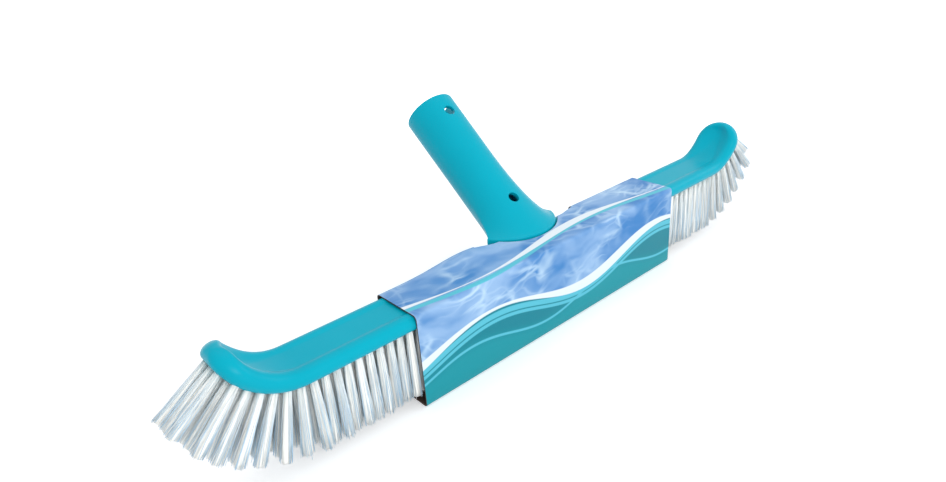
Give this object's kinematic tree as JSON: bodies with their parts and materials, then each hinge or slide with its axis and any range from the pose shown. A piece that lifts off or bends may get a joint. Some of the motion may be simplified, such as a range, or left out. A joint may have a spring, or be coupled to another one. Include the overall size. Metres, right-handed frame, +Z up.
{
  "type": "pool wall brush",
  "caption": "Long wall brush with upturned ends, fanned bristle tufts, a leaning pole socket with clip holes, and a folded card sleeve round its middle.",
  "frame": {"origin": "centre of the underside of the sleeve, on the surface that the brush stands on", "axes": "+X along the brush, +Y the way that the pole leans, +Z up out of the back"},
  "size_m": [0.5078, 0.1427, 0.1432],
  "materials": {
    "back": "satin moulded, teal",
    "bristle": "white filaments",
    "anchor_wire": "flat wire",
    "printed_card": "printed coated card",
    "bare_card": "bare card"
  },
  "bodies": {
    "brush": {"brush_back": "back", "handle_tube": "back", "handle_foot": "back", "tufts_row_1_middle": "bristle", "tufts_row_2_middle": "bristle", "tufts_row_3_middle": "bristle", "tufts_row_4_middle": "bristle", "tufts_row_5_middle": "bristle", "tufts_row_1_left_end": "bristle", "tufts_row_1_right_end": "bristle", "tufts_row_2_left_end": "bristle", "tufts_row_2_right_end": "bristle", "tufts_row_3_left_end": "bristle", "tufts_row_3_right_end": "bristle", "tufts_row_4_left_end": "bristle", "tufts_row_4_right_end": "bristle", "tufts_row_5_left_end": "bristle", "tufts_row_5_right_end": "bristle", "anchors_row_1": "anchor_wire", "anchors_row_2": "anchor_wire", "anchors_row_3": "anchor_wire", "anchors_row_4": "anchor_wire", "anchors_row_5": "anchor_wire"},
    "sleeve": {"sleeve_front_panel": "printed_card", "sleeve_top_panel": "printed_card", "sleeve_back_panel": "printed_card", "sleeve_bottom_panel": "printed_card", "sleeve_glue_flap": "bare_card"}
  },
  "joints": [
    {"name": "sleeve_slide", "type": "slide", "parent": "brush", "child": "sleeve", "axis": [1, 0, 0], "range_m": [-0.002, 0.002]}
  ]
}
